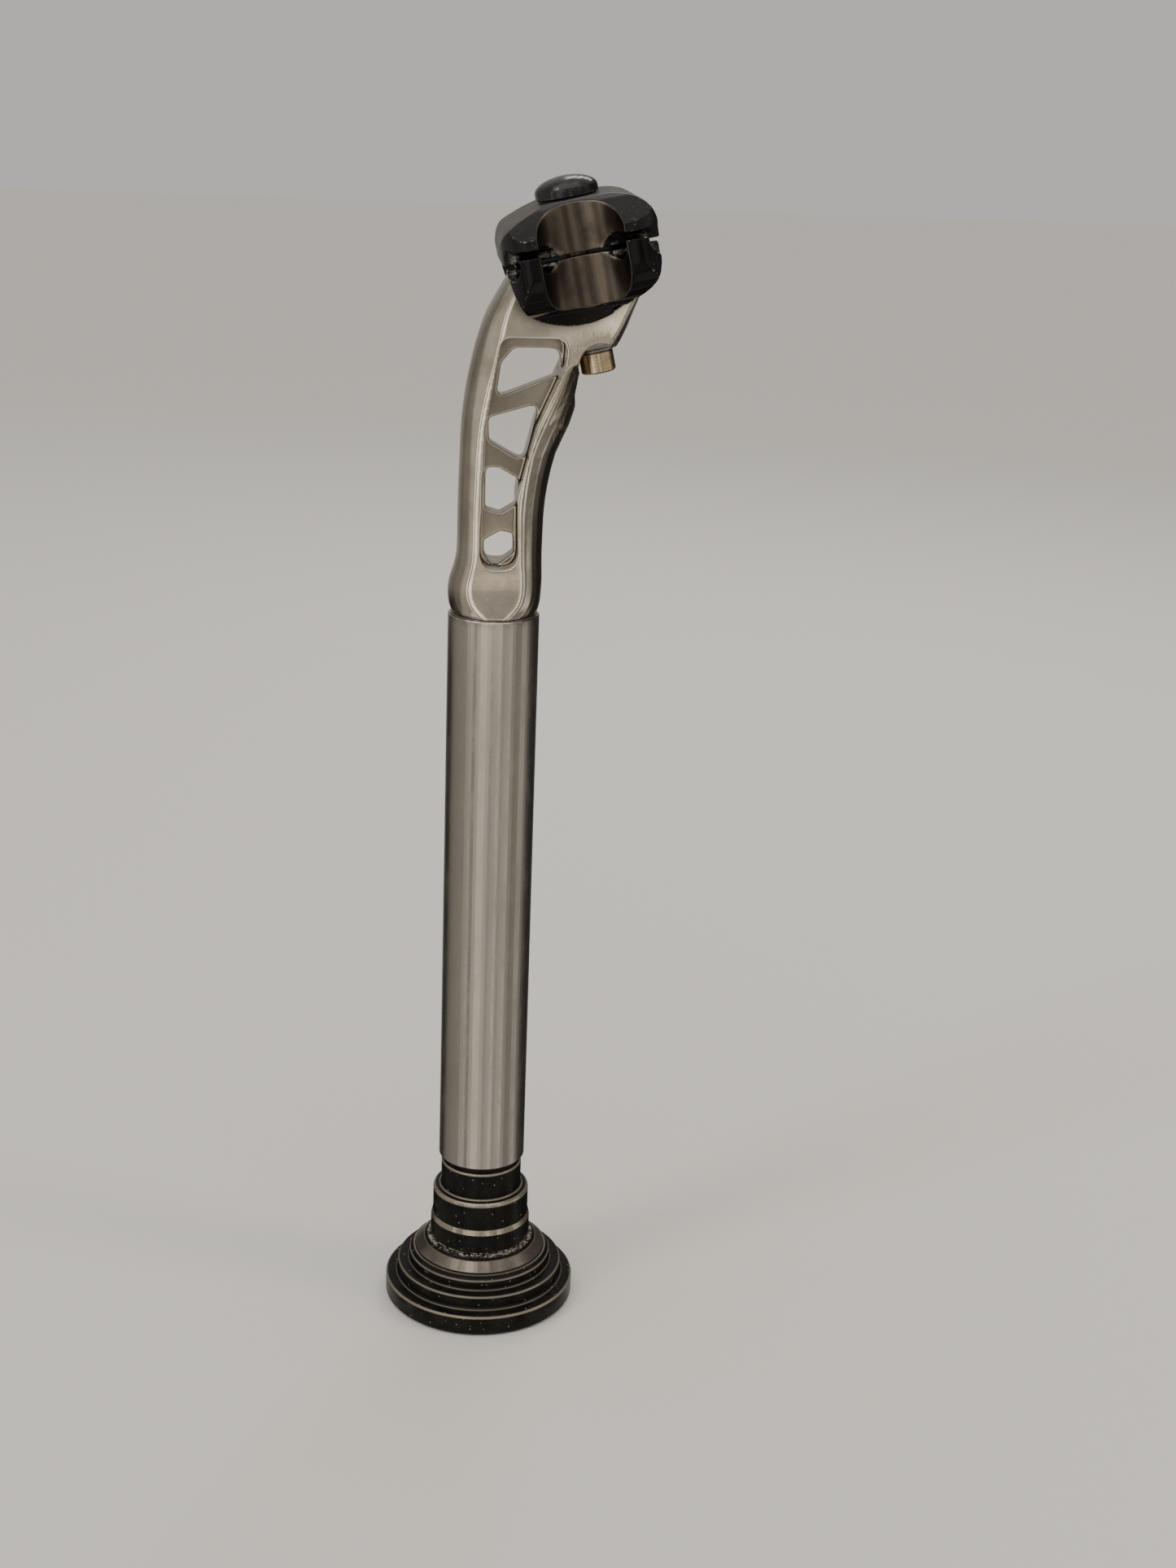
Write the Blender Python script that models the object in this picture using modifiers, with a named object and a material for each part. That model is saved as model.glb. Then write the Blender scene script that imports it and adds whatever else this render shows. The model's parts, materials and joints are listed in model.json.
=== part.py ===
"""Rigid setback seatpost with a trussed neck and a one-bolt saddle clamp, standing on a stepped stand.

The stand's foot is at the origin, the tube's axis is Z, and the clamp is set back along +X.
The clamp's own frame has U along the rails, Y across them and W up the bolt, with the
rail centre at its origin. Dimensions are in millimetres and are scaled to metres.
"""

from math import asin, cos, degrees, pi, radians, sin, sqrt, tan

import bmesh
import bpy
from mathutils import Matrix, Vector

MM = 0.001
GAP = 0.3  # clearance between pieces that touch

# Stand
BASE_R = 30.3
BASE_TOP = 20.5
SOCKET_R = 10.0
SOCKET_FLOOR = 12.0
BUSH_R = 15.9
BUSH_TOP_R = 15.3
STEP_R = 12.8
SHOULDER_R = 12.0
SHOULDER_H = 1.4
STEP_TOP = 48.8
STAND_SPIGOT_R = 11.1
STAND_SPIGOT_TOP = 86.0

# Tube
TUBE_R = 13.6
TUBE_BORE_R = 11.4
TUBE_FOOT = STEP_TOP + GAP
TUBE_LEN = 178.5

# Neck and head, with heights measured from the foot of the tube
SPIGOT_R = TUBE_BORE_R - GAP
SPIGOT_LEN = 40.0
WEB_HALF = 3.5
HEAD_HALF = 14.0
SETBACK = 21.0
RAIL_H = 285.0
TROUGH_R = 18.8
SEAT_R = 26.4
TILT = 12.5  # degrees the rear of the clamp stands above the front at rest
TILT_DOWN, TILT_UP = 3.0, 8.0  # travel either side of rest

# Clamp
RAIL_R = 3.6
RAIL_Y = 22.0
CLAMP_HALF_X, CLAMP_HALF_Y = 22.0, 27.2
SCOOP_R = 12.0
SCOOP_Y = 28.8
UPPER_FLOOR, UPPER_LIP = -0.2, 3.4
LOWER_TOP, LOWER_LIP = -1.2, 1.3
ROCKER_R = TROUGH_R - GAP
FLANGE_IN, FLANGE_OUT = HEAD_HALF + GAP, 16.4
BOLT_R = 3.0
BOLT_BORE_R = 3.4
BOLT_HEAD_R, BOLT_HEAD_H = 5.0, 6.0
BOLT_SEAT = 29.8  # from the rail centre down to the bolt head's upper face
SLEEVE_R, SLEEVE_LEN = 4.7, 8.0
NUT_SEAT = 13.9
NUT_R = 9.0

# Neck and head: height, front x, rear x, half width, and how far the front and the rear bulge
# beyond the edges of the flat sides
NECK = [
    (TUBE_LEN + GAP, -12.1, 12.1, 12.9, 9.4, 9.4),
    (179.6, -12.8, 12.8, 13.0, 9.6, 9.6),
    (180.8, -13.3, 13.3, 12.6, 8.6, 8.6),
    (183.0, -13.7, 13.7, 11.8, 6.9, 6.9),
    (186.0, -13.8, 13.9, 11.2, 5.9, 6.0),
    (189.0, -13.4, 14.0, 11.0, 5.4, 5.9),
    (192.5, -12.3, 13.9, 10.9, 5.0, 6.0),
    (197.0, -11.4, 13.8, 10.8, 4.8, 6.3),
    (204.0, -11.3, 13.9, 10.8, 4.7, 6.6),
    (210.0, -11.3, 14.1, 10.8, 4.7, 7.0),
    (217.0, -11.2, 14.9, 10.9, 4.8, 7.3),
    (226.5, -11.0, 17.0, 11.2, 4.9, 8.0),
    (235.0, -10.7, 20.7, 11.8, 5.2, 8.6),
    (243.0, -9.9, 22.9, 12.5, 5.8, 6.8),
    (249.0, -8.9, 23.6, 13.0, 6.3, 5.2),
    (252.4, -8.2, 24.6, 13.3, 6.4, 4.8),
    (253.9, -7.9, 27.4, 13.4, 6.4, 4.6),
    (255.7, -7.5, 31.0, 13.6, 6.3, 4.2),
    (258.0, -6.9, 33.6, 13.7, 6.1, 3.6),
    (262.0, -5.7, 35.6, 13.9, 5.6, 3.0),
    (267.0, -3.8, 37.4, 14.0, 4.8, 2.4),
    (272.7, -0.6, 39.5, 14.0, 3.8, 1.8),
    (277.2, 2.0, 41.0, 14.0, 3.0, 1.4),
]

# Corners of the side pockets and of the four holes: x, height and the radius of the corner
POCKET = [
    (-0.1, 260.4, 3.6), (18.6, 260.5, 3.8), (18.1, 252.2, 2.5), (10.8, 235.4, 20.0),
    (5.7, 215.0, 12.0), (6.2, 193.4, 5.2), (-4.95, 193.4, 5.2), (-4.7, 215.0, 20.0),
    (-4.2, 235.0, 15.0),
]
HOLES = [
    [(-0.9, 242.2, 2.0), (0.4, 252.2, 3.0), (4.0, 256.6, 3.0), (17.1, 256.8, 3.2), (17.6, 249.6, 1.8)],
    [(-2.9, 236.6, 1.6), (11.6, 241.0, 2.0), (7.6, 224.0, 2.4), (-2.6, 229.9, 1.8)],
    [(-3.4, 222.2, 1.6), (0.2, 222.3, 1.2), (6.2, 219.0, 1.5), (5.4, 211.4, 1.5), (1.0, 208.7, 1.2),
     (-3.3, 210.0, 1.5)],
    [(-3.5, 200.9, 1.2), (1.2, 203.7, 1.4), (5.0, 203.0, 1.6), (5.1, 197.3, 1.4), (0.9, 193.9, 1.4),
     (-1.6, 194.1, 1.2), (-3.4, 197.0, 1.2)],
]

# The clamp halves' outer edges, in the clamp's frame
FRONT_CORNER = [
    (-22.0, 14.0), (-21.4, 18.0), (-20.2, 21.6), (-18.5, 24.9), (-16.8, 26.6), (-15.0, 27.2),
]
REAR_CORNER_R = 7.5
UPPER_SIDE = [
    (-22.3, 3.2), (-21.7, 5.5), (-20.6, 7.8), (-18.5, 9.6), (-14.0, 11.6), (-9.0, 13.3),
    (-6.0, 13.8), (8.0, 13.9), (12.7, 13.5), (16.7, 12.2), (19.6, 10.0), (21.3, 7.0), (22.3, 3.5),
]
UPPER_END = [
    (13.0, 14.6), (18.5, 12.6), (20.2, 11.6), (23.7, 9.2), (26.2, 6.9), (27.5, 5.7),
]
LOWER_SIDE = [
    (-21.2, -3.0), (-20.3, -8.5), (-18.4, -13.8), (-14.1, -17.2), (-7.5, -19.5), (-3.0, -19.9),
    (0.8, -19.7), (7.6, -17.9), (14.7, -14.4), (18.9, -11.0), (20.9, -6.5), (21.4, -1.4),
]

for old in list(bpy.data.objects):
    bpy.data.objects.remove(old, do_unlink=True)

PARTS = bpy.data.collections.new("setback_seatpost")
CUTTERS = bpy.data.collections.new("cutters")
for group in (PARTS, CUTTERS):
    bpy.context.scene.collection.children.link(group)
CUTTERS.hide_render = True


def material(name, colour, metallic, roughness):
    mat = bpy.data.materials.new(name)
    mat.use_nodes = True
    shader = mat.node_tree.nodes["Principled BSDF"]
    shader.inputs["Base Color"].default_value = (*colour, 1)
    shader.inputs["Metallic"].default_value = metallic
    shader.inputs["Roughness"].default_value = roughness
    return mat


def add(name, mesh, parent=None, mat=None):
    """A node when it has a material, otherwise a cutter."""
    obj = bpy.data.objects.new(name, mesh)
    if mat:
        mesh.materials.append(mat)
        PARTS.objects.link(obj)
    else:
        CUTTERS.objects.link(obj)
        obj.hide_render = True
        obj.display_type = "WIRE"
    obj.parent = parent
    return obj


def mesh_from(bm, name, weld=0.0):
    if weld:
        bmesh.ops.remove_doubles(bm, verts=bm.verts, dist=weld)
    bmesh.ops.recalc_face_normals(bm, faces=bm.faces)
    mesh = bpy.data.meshes.new(name)
    bm.to_mesh(mesh)
    bm.free()
    return mesh


def frame(origin, x_axis, z_axis):
    """A matrix in metres with its origin and two of its axes given."""
    x_axis, z_axis = Vector(x_axis).normalized(), Vector(z_axis).normalized()
    turn = Matrix((x_axis, z_axis.cross(x_axis), z_axis)).transposed().to_4x4()
    return Matrix.Translation(Vector(origin) * MM) @ turn


def cylinder(name, origin, axis, radius, length, sides=64, parent=None, mat=None):
    """A cylinder centred on its origin."""
    bm = bmesh.new()
    side = (1, 0, 0) if abs(axis[0]) < 0.9 else (0, 1, 0)
    bmesh.ops.create_cone(
        bm, cap_ends=True, segments=sides, radius1=radius * MM, radius2=radius * MM,
        depth=length * MM, matrix=frame(origin, side, axis),
    )
    return add(name, mesh_from(bm, name), parent, mat)


def box(name, low, high, parent=None):
    bm = bmesh.new()
    low, high = Vector(low) * MM, Vector(high) * MM
    scale = Matrix.Diagonal((*(high - low), 1))
    bmesh.ops.create_cube(bm, size=1, matrix=Matrix.Translation((low + high) / 2) @ scale)
    return add(name, mesh_from(bm, name), parent)


def turned(name, profile, sides, parent=None, mat=None, axis="Z"):
    """A profile of (radius, height) points, from the top down its outer side, spun about an axis."""
    bm = bmesh.new()
    spots = [bm.verts.new((r * MM, 0, z * MM)) for r, z in profile]
    for a, b in zip(spots, spots[1:]):
        bm.edges.new((a, b))
    if profile[0] != profile[-1] and profile[0][0] > 0:
        bm.edges.new((spots[-1], spots[0]))
    mesh = bpy.data.meshes.new(name)
    bm.to_mesh(mesh)
    bm.free()
    obj = add(name, mesh, parent, mat)
    spin = obj.modifiers.new("Spin", "SCREW")
    spin.axis = axis
    spin.steps = spin.render_steps = sides
    spin.use_merge_vertices = True
    spin.merge_threshold = 1e-6
    return obj


def settled(obj):
    """The evaluated mesh of an object in place of its modifiers."""
    graph = bpy.context.evaluated_depsgraph_get()
    mesh = bpy.data.meshes.new_from_object(obj.evaluated_get(graph))
    obj.modifiers.clear()
    obj.data = mesh
    return obj


def eased(points, steps):
    """A smooth open curve through the points, with a number of steps between each two."""
    ends = [points[0]] + list(points) + [points[-1]]
    curve = []
    for a, b, c, d in zip(ends, ends[1:], ends[2:], ends[3:]):
        for i in range(steps):
            t = i / steps
            curve.append(tuple(
                q + t / 2 * (r - p + t * (2 * p - 5 * q + 4 * r - s + t * (3 * (q - r) + s - p)))
                for p, q, r, s in zip(a, b, c, d)
            ))
    return curve + [tuple(points[-1])]


def filleted(corners, steps=4):
    """A closed outline with a rounded corner at each (a, b, radius)."""
    points = []
    for before, here, after in zip(corners[-1:] + corners[:-1], corners, corners[1:] + corners[:1]):
        tip = Vector(here[:2])
        back, ahead = ((Vector(other[:2]) - tip).normalized() for other in (before, after))
        reach = here[2] / tan(back.angle(ahead) / 2)
        for i in range(steps + 1):
            t = i / steps
            points.append(tuple(tip + reach * ((1 - t) ** 2 * back + t * t * ahead)))
    return points


def outline(name, points, half, centre=0.0, parent=None, plane="XZ"):
    """A flat outline extruded by half on both sides of its centre, as a closed mesh."""
    curve = bpy.data.curves.new(name, "CURVE")
    curve.dimensions = "2D"
    curve.fill_mode = "BOTH"
    curve.extrude = half * MM
    curve.resolution_u = 1
    spline = curve.splines.new("BEZIER")
    spline.bezier_points.add(len(points) - 1)
    for spot, (a, b) in zip(spline.bezier_points, points):
        spot.co = (a * MM, b * MM, 0)
        spot.handle_left_type = spot.handle_right_type = "VECTOR"
    spline.use_cyclic_u = True
    source = bpy.data.objects.new(name, curve)
    bpy.context.scene.collection.objects.link(source)
    graph = bpy.context.evaluated_depsgraph_get()
    bm = bmesh.new()
    bm.from_mesh(bpy.data.meshes.new_from_object(source.evaluated_get(graph)))
    bpy.data.objects.remove(source, do_unlink=True)
    if plane == "XZ":
        turn = frame((0, centre, 0), (1, 0, 0), (0, -1, 0))
    elif plane == "YZ":
        turn = frame((centre, 0, 0), (0, 1, 0), (1, 0, 0))
    else:
        turn = frame((0, 0, centre), (1, 0, 0), (0, 0, 1))
    bmesh.ops.transform(bm, matrix=turn, verts=bm.verts)
    return add(name, mesh_from(bm, name, weld=1e-6), parent)


def boolean(obj, other, operation="DIFFERENCE"):
    step = obj.modifiers.new(other.name, "BOOLEAN")
    step.operation = operation
    step.solver = "EXACT"
    step.object = other


def smooth(obj, angle=32):
    obj.data.shade_smooth()
    bm = bmesh.new()
    bm.from_mesh(obj.data)
    for edge in bm.edges:
        edge.smooth = len(edge.link_faces) == 2 and edge.calc_face_angle(0) < radians(angle)
    bm.to_mesh(obj.data)
    bm.free()


def around(radius, angle):
    """A point below the rail centre in the X-Z plane of the tube, at an angle from straight down."""
    return SETBACK + radius * sin(radians(angle)), TUBE_FOOT + RAIL_H - radius * cos(radians(angle))


def beside(radius, angle, offset):
    """A point on a line from the rail centre, moved sideways by an offset towards +X."""
    x, z = around(radius, angle)
    return x + offset * cos(radians(angle)), z + offset * sin(radians(angle))


black = material("black_stand", (0.028, 0.027, 0.026), 0.65, 0.38)
satin = material("satin_aluminium", (0.62, 0.59, 0.55), 1.0, 0.34)
polished = material("polished_aluminium", (0.80, 0.77, 0.73), 1.0, 0.13)
anodised = material("black_anodised", (0.035, 0.034, 0.036), 0.7, 0.33)
gloss = material("gloss_black", (0.014, 0.013, 0.014), 0.5, 0.16)
brass = material("zinc_steel", (0.62, 0.54, 0.40), 1.0, 0.32)
steel = material("plain_steel", (0.46, 0.45, 0.44), 1.0, 0.36)

# Stand: a stepped disc with a pale conical band, and a stepped bush plugged into it
stand_base = turned("stand_base", [
    (0, SOCKET_FLOOR), (SOCKET_R, SOCKET_FLOOR), (SOCKET_R, BASE_TOP), (16.9, BASE_TOP),
    (17.4, 19.7), (18.2, 19.4), (20.7, 16.9), (21.0, 16.2), (21.6, 16.2), (21.9, 15.5),
    (22.3, 15.2), (22.7, 14.7), (22.7, 12.4), (23.4, 11.7), (25.8, 11.6), (26.4, 11.0),
    (26.4, 7.8), (27.3, 6.9), (BASE_R - 0.6, 6.6), (BASE_R, 6.0), (BASE_R, 0.8), (BASE_R - 0.8, 0),
    (0, 0),
], 96, mat=black)

stand_bush = turned("stand_bush", [
    (0, STAND_SPIGOT_TOP), (STAND_SPIGOT_R - 1.5, STAND_SPIGOT_TOP),
    (STAND_SPIGOT_R, STAND_SPIGOT_TOP - 1.5), (STAND_SPIGOT_R, STEP_TOP), (SHOULDER_R, STEP_TOP),
    (SHOULDER_R, STEP_TOP - SHOULDER_H), (STEP_R - 0.4, STEP_TOP - SHOULDER_H),
    (STEP_R, STEP_TOP - SHOULDER_H - 0.4), (STEP_R, 39.0), (STEP_R + 0.6, 38.4),
    (BUSH_TOP_R - 0.7, 38.2), (BUSH_TOP_R - 0.2, 37.9), (BUSH_TOP_R, 37.3), (BUSH_TOP_R, 29.2),
    (BUSH_TOP_R + 0.2, 28.8), (BUSH_R, 27.3),
    (BUSH_R, BASE_TOP + GAP), (SOCKET_R - GAP, BASE_TOP + GAP),
    (SOCKET_R - GAP, SOCKET_FLOOR + 1.0), (SOCKET_R - 1.0, SOCKET_FLOOR + GAP),
    (0, SOCKET_FLOOR + GAP),
], 80, mat=black)

# Tube
TUBE_HEAD = TUBE_FOOT + TUBE_LEN
seat_tube = turned("seat_tube", [
    (TUBE_BORE_R, TUBE_HEAD), (TUBE_R - 0.3, TUBE_HEAD), (TUBE_R, TUBE_HEAD - 0.3),
    (TUBE_R, TUBE_FOOT + 0.8), (TUBE_R - 0.8, TUBE_FOOT), (TUBE_BORE_R + 0.2, TUBE_FOOT),
    (TUBE_BORE_R, TUBE_FOOT + 0.2),
], 80, mat=satin)

# Neck and head: a loft from the round collar to the broad head, with flat sides
ARC_STEPS, CORNER_STEPS, FLAT_STEPS = 10, 3, 3
CORNER = 1.1  # how far a rounded corner reaches along the two faces that it joins


def arc(edge, bulge, half, way):
    """The front (way -1) or rear (way 1) face of a section, and the corner where it meets each side."""
    radius = (half ** 2 + bulge ** 2) / (2 * bulge)
    reach = asin(half / radius)
    kept = reach - CORNER / radius
    angles = [kept * (2 * i / ARC_STEPS - 1) for i in range(ARC_STEPS + 1)]
    centre = edge - way * radius
    points = [(centre + way * radius * cos(a), way * radius * sin(a)) for a in angles]
    return points, centre + way * radius * cos(reach)


def bend(start, corner, end):
    """The inner points of a rounded corner."""
    points = []
    for i in range(1, CORNER_STEPS + 1):
        t = i / (CORNER_STEPS + 1)
        points.append(tuple(
            (1 - t) ** 2 * p + 2 * t * (1 - t) * q + t * t * r for p, q, r in zip(start, corner, end)
        ))
    return points


def section(front, rear, half, front_bulge, rear_bulge):
    """One section of the neck, counter-clockwise from above."""
    back, back_x = arc(rear, rear_bulge, half, 1)
    face, face_x = arc(front, front_bulge, half, -1)
    points = []
    for curve, start_x, end_x, following, y in (
        (back, back_x, face_x, face, half), (face, face_x, back_x, back, -half),
    ):
        inward = CORNER if end_x > start_x else -CORNER
        flat = [
            (start_x + inward + (end_x - start_x - 2 * inward) * i / FLAT_STEPS, y)
            for i in range(FLAT_STEPS + 1)
        ]
        points += curve + bend(curve[-1], (start_x, y), flat[0]) + flat
        points += bend(flat[-1], (end_x, y), following[0])
    return points


bm = bmesh.new()
rings = [
    [bm.verts.new((x * MM, y * MM, (TUBE_FOOT + height) * MM)) for x, y in section(*edges)]
    for height, *edges in eased(NECK, 2)
]
for lower, upper in zip(rings, rings[1:]):
    for i, spot in enumerate(lower):
        j = (i + 1) % len(lower)
        bm.faces.new((spot, lower[j], upper[j], upper[i]))
bm.faces.new(list(reversed(rings[0])))
bm.faces.new(rings[-1])
neck_forging = add("neck_forging", mesh_from(bm, "neck_forging"), mat=polished)

spigot = cylinder(
    "cut_neck_spigot", (0, 0, TUBE_HEAD - SPIGOT_LEN / 2 + 1.0), (0, 0, 1), SPIGOT_R, SPIGOT_LEN + 2.0, 48,
)
boolean(neck_forging, spigot, "UNION")
boolean(neck_forging, cylinder(
    "cut_trough", (SETBACK, 0, TUBE_FOOT + RAIL_H), (0, 1, 0), TROUGH_R, 60, 128,
))


def raised(points):
    return [(x, z + TUBE_FOOT) for x, z in points]


for side, label in ((-1, "near"), (1, "far")):
    pocket = outline(
        "cut_pocket_" + label, raised(filleted(POCKET, 6)), 10, side * (10 + WEB_HALF),
    )
    soften = pocket.modifiers.new("Fillet", "BEVEL")
    soften.width = 2.0 * MM
    soften.segments = 4
    soften.limit_method = "ANGLE"
    soften.angle_limit = radians(60)
    boolean(neck_forging, pocket)
for i, hole in enumerate(HOLES):
    boolean(neck_forging, outline("cut_hole_%d" % (i + 1), raised(filleted(hole)), 6))

low_tilt, high_tilt = TILT - TILT_DOWN, TILT + TILT_UP
channel_half = 6.3
start = low_tilt - degrees(asin(channel_half / SEAT_R))
arc = [around(SEAT_R, start + (66 - start) * i / 16) for i in range(17)]
boolean(neck_forging, outline(
    "cut_washer_channel", arc + [around(70, 66), beside(60, low_tilt, -channel_half)],
    channel_half,
))
boolean(neck_forging, outline(
    "cut_bolt_slot",
    [beside(12, low_tilt, -3.6), beside(12, high_tilt, 3.6), beside(32, high_tilt, 3.6),
     beside(32, low_tilt, -3.6)],
    3.6,
))
boolean(neck_forging, cylinder(
    "cut_bolt_arch", (28.3, 0, TUBE_FOOT + 253.2), (0, 1, 0), 6.3, 60, 64,
))

# Clamp: its frame stands on the rail centre and leans by the tilt
clamp = bpy.data.objects.new("clamp_frame", None)
PARTS.objects.link(clamp)
clamp.location = (SETBACK * MM, 0, (TUBE_FOOT + RAIL_H) * MM)
clamp.rotation_euler = (0, -radians(TILT), 0)


def plan(steps=7):
    """The clamp from above: round rear corners, and front corners cut back past the rail grooves."""
    corner = eased(FRONT_CORNER, 2)
    for i in range(steps + 1):
        angle = pi / 2 * (1 - i / steps)
        corner.append((
            CLAMP_HALF_X - REAR_CORNER_R + REAR_CORNER_R * cos(angle),
            CLAMP_HALF_Y - REAR_CORNER_R + REAR_CORNER_R * sin(angle),
        ))
    return corner + [(a, -b) for a, b in reversed(corner)]


def mirrored(points):
    """The right half of an outline, from its top to its foot, and its mirror image."""
    return points + [(-a, b) for a, b in reversed(points)]


def shared_cuts(obj, label):
    """The rail grooves, the side scoops and the bolt hole, which both clamp halves have."""
    for side, where in ((-1, "near"), (1, "far")):
        groove = turned("cut_%s_groove_%s" % (label, where), [
            (0, 30), (RAIL_R + 1.3, 30), (RAIL_R + 1.0, 21.5), (RAIL_R, 17.0), (RAIL_R, -17.0),
            (RAIL_R + 1.0, -21.5), (RAIL_R + 1.3, -30), (0, -30),
        ], 40, parent=clamp)
        groove.location = (0, side * RAIL_Y * MM, 0)
        groove.rotation_euler = (0, pi / 2, 0)
        boolean(obj, groove)
        boolean(obj, cylinder(
            "cut_%s_scoop_%s" % (label, where), (0, side * SCOOP_Y, 0), (0, 0, 1), SCOOP_R, 60, 72,
            parent=clamp,
        ))
    boolean(obj, cylinder("cut_%s_bore" % label, (0, 0, 0), (0, 0, 1), BOLT_BORE_R, 60, 40, parent=clamp))


def shell(name, mat, side_view, end_view):
    """The solid that fills a plan, a side view and an end view at once."""
    body = outline(name + "_plan", plan(), 40, plane="XY")
    for view, plane in ((side_view, "XZ"), (end_view, "YZ")):
        boolean(body, outline("cut_%s_%s" % (name, plane), view, 40, plane=plane), "INTERSECT")
    mesh = settled(body).data
    bpy.data.objects.remove(body, do_unlink=True)
    return add(name, mesh, clamp, mat)


def bow(a0, b0, a1, b1, steps=7):
    """A quarter of an ellipse from (a0, b0), at the side, to (a1, b1), below it and further in."""
    return [
        (a1 + (a0 - a1) * cos(pi / 2 * i / steps), b0 + (b1 - b0) * sin(pi / 2 * i / steps))
        for i in range(steps + 1)
    ]


upper_clamp = shell(
    "upper_clamp", anodised,
    eased(UPPER_SIDE, 2) + [(22.3, UPPER_FLOOR), (-22.3, UPPER_FLOOR)],
    mirrored(eased(UPPER_END, 2) + [(UPPER_END[-1][0], -9)]),
)
shared_cuts(upper_clamp, "upper")
for side, where in ((-1, "near"), (1, "far")):
    ends = sorted((side * RAIL_Y, side * 40))
    boolean(upper_clamp, box(
        "cut_upper_lip_" + where, (-40, ends[0], -20), (40, ends[1], UPPER_LIP), clamp,
    ))
boolean(upper_clamp, cylinder(
    "cut_sleeve_bore", (0, 0, NUT_SEAT - SLEEVE_LEN - 1 + 10), (0, 0, 1), SLEEVE_R + GAP, 20, 40,
    parent=clamp,
))
boolean(upper_clamp, cylinder(
    "cut_nut_seat", (0, 0, NUT_SEAT - GAP + 5), (0, 0, 1), NUT_R + 0.5, 10, 64, parent=clamp,
))

lower_cradle = shell(
    "lower_cradle", gloss,
    [(LOWER_SIDE[0][0], LOWER_LIP)] + eased(LOWER_SIDE, 2) + [(LOWER_SIDE[-1][0] - 0.1, LOWER_LIP)],
    mirrored(
        [(CLAMP_HALF_Y + 0.3, 9)] + bow(CLAMP_HALF_Y + 0.3, -2.0, FLANGE_OUT, -15.4)
        + [(FLANGE_OUT, -26)]
    ),
)
shared_cuts(lower_cradle, "lower")
boolean(lower_cradle, box("cut_lower_floor", (-40, -RAIL_Y, LOWER_TOP), (40, RAIL_Y, 20), clamp))
relief = cylinder("cut_relief", (0, 0, 0), (0, 1, 0), 30, 2 * FLANGE_IN, 96, parent=clamp)
boolean(relief, cylinder("cut_relief_rocker", (0, 0, 0), (0, 1, 0), ROCKER_R, 60, 128, parent=clamp))
boolean(lower_cradle, relief)
for side, where in ((-1, "near"), (1, "far")):
    ends = sorted((side * (FLANGE_IN - 0.2), side * 20))
    boolean(lower_cradle, box("cut_notch_" + where, (6.2, ends[0], -30), (9.8, ends[1], -16.6), clamp))

# Bolt, its two washers and the dome nut, all on the bolt's axis
clamp_bolt = turned("clamp_bolt", [
    (0, 17.6), (BOLT_R - 0.6, 17.6), (BOLT_R, 17.0), (BOLT_R, -BOLT_SEAT),
    (BOLT_HEAD_R - 0.3, -BOLT_SEAT), (BOLT_HEAD_R, -BOLT_SEAT - 0.3),
    (BOLT_HEAD_R, -BOLT_SEAT - BOLT_HEAD_H + 0.4), (BOLT_HEAD_R - 0.4, -BOLT_SEAT - BOLT_HEAD_H),
    (0, -BOLT_SEAT - BOLT_HEAD_H),
], 48, parent=clamp, mat=brass)
boolean(clamp_bolt, cylinder(
    "cut_hex", (0, 0, -BOLT_SEAT - BOLT_HEAD_H), (0, 0, 1), 5.0 / sqrt(3), 6.6, 6, parent=clamp,
))

WASHER_TOP = BOLT_SEAT - 1.0
flat_washer = turned("flat_washer", [
    (BOLT_BORE_R, -WASHER_TOP - 0.15), (5.6, -WASHER_TOP - 0.15), (5.6, -BOLT_SEAT + 0.2),
    (BOLT_BORE_R, -BOLT_SEAT + 0.2),
], 48, parent=clamp, mat=steel)

seat_washer = settled(outline(
    "seat_washer_side",
    [((SEAT_R + GAP) * sin(radians(a)), -(SEAT_R + GAP) * cos(radians(a))) for a in range(-11, 12, 2)]
    + [(5.4, -WASHER_TOP + 0.15), (-5.4, -WASHER_TOP + 0.15)],
    5.6,
))
washer_mesh = seat_washer.data
bpy.data.objects.remove(seat_washer, do_unlink=True)
seat_washer = add("seat_washer", washer_mesh, clamp, steel)
boolean(seat_washer, cylinder("cut_washer_bore", (0, 0, -28), (0, 0, 1), BOLT_BORE_R, 20, 40, parent=clamp))

dome = [(NUT_R * sin(radians(a)), NUT_SEAT + 1.9 + 3.9 * cos(radians(a))) for a in range(0, 91, 10)]
dome_nut = turned("dome_nut", dome + [
    (NUT_R, NUT_SEAT + 0.4), (NUT_R - 0.4, NUT_SEAT), (SLEEVE_R, NUT_SEAT),
    (SLEEVE_R, NUT_SEAT - SLEEVE_LEN), (BOLT_R + GAP, NUT_SEAT - SLEEVE_LEN), (BOLT_R + GAP, 18.2),
    (0, 18.2),
], 64, parent=clamp, mat=gloss)

for node in (
    stand_base, stand_bush, seat_tube, neck_forging, upper_clamp, lower_cradle, clamp_bolt,
    flat_washer, seat_washer, dome_nut,
):
    settled(node)
    smooth(node)
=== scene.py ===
"""The looks of the setback seatpost: finer clamp and neck meshes, procedural finishes, light and camera."""

import json
from math import cos, pi, radians, sin

import bmesh
import bpy
from mathutils import Matrix, Vector
from mathutils.kdtree import KDTree


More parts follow.
